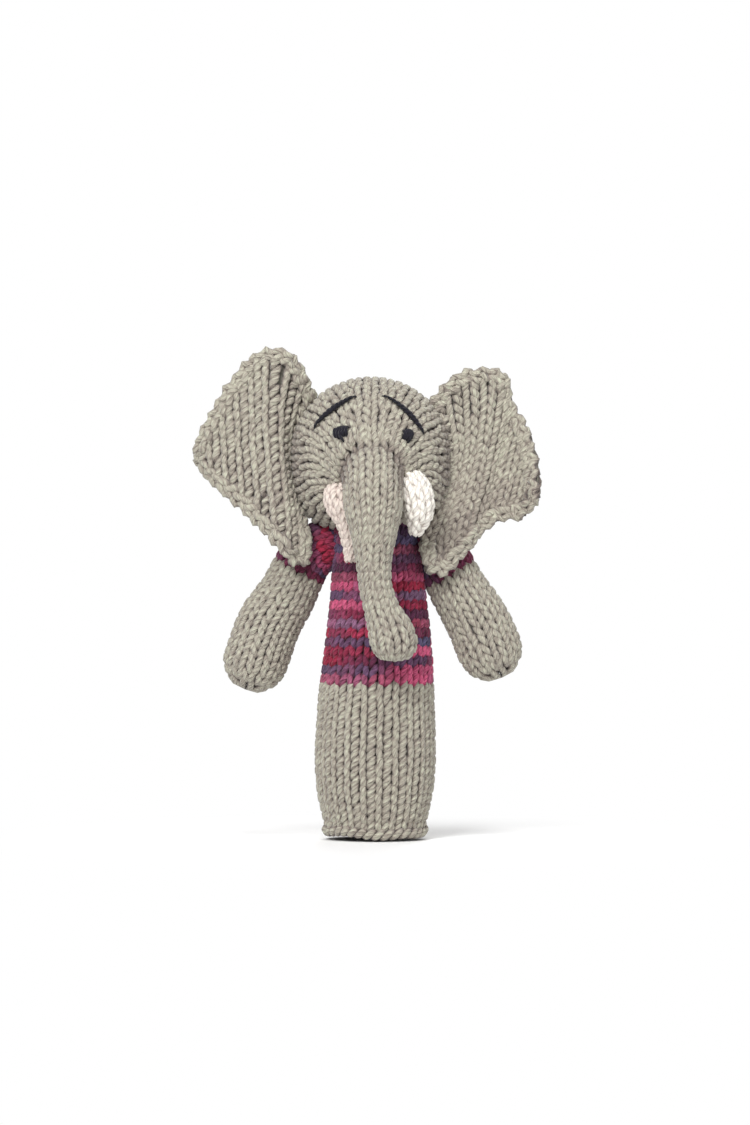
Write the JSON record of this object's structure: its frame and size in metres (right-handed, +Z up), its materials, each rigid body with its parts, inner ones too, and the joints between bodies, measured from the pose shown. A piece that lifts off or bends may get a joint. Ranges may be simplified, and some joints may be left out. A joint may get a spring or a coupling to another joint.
{
  "type": "finger puppet",
  "caption": "Knitted elephant finger puppet with wide ears, a long trunk, tusks and stuffed arms, and a striped jumper; the body is a tube open at the hem for a finger.",
  "frame": {"origin": "middle of the finger opening, in the plane of the hem", "axes": "+Z up the body tube to the head, -Y the way the face looks, +X to the viewer's right"},
  "size_m": [0.0891, 0.0458, 0.1216],
  "materials": {
    "grey_yarn": "plied grey wool, knitted",
    "striped_yarn": "space-dyed wool in pinks, purples and blues, knitted",
    "cream_yarn": "cream wool, knitted",
    "black_yarn": "black wool, embroidered",
    "stuffing": "loose fibre filling"
  },
  "bodies": {
    "root": {"body_tube": "grey_yarn", "head_with_trunk": "grey_yarn", "left_ear": "grey_yarn", "right_ear": "grey_yarn", "left_arm": "grey_yarn", "right_arm": "grey_yarn", "left_tusk": "cream_yarn", "right_tusk": "cream_yarn", "left_eye": "black_yarn", "right_eye": "black_yarn", "left_eyebrow": "black_yarn", "right_eyebrow": "black_yarn", "head_stuffing": "stuffing", "left_arm_stuffing": "stuffing", "right_arm_stuffing": "stuffing"}
  },
  "joints": []
}
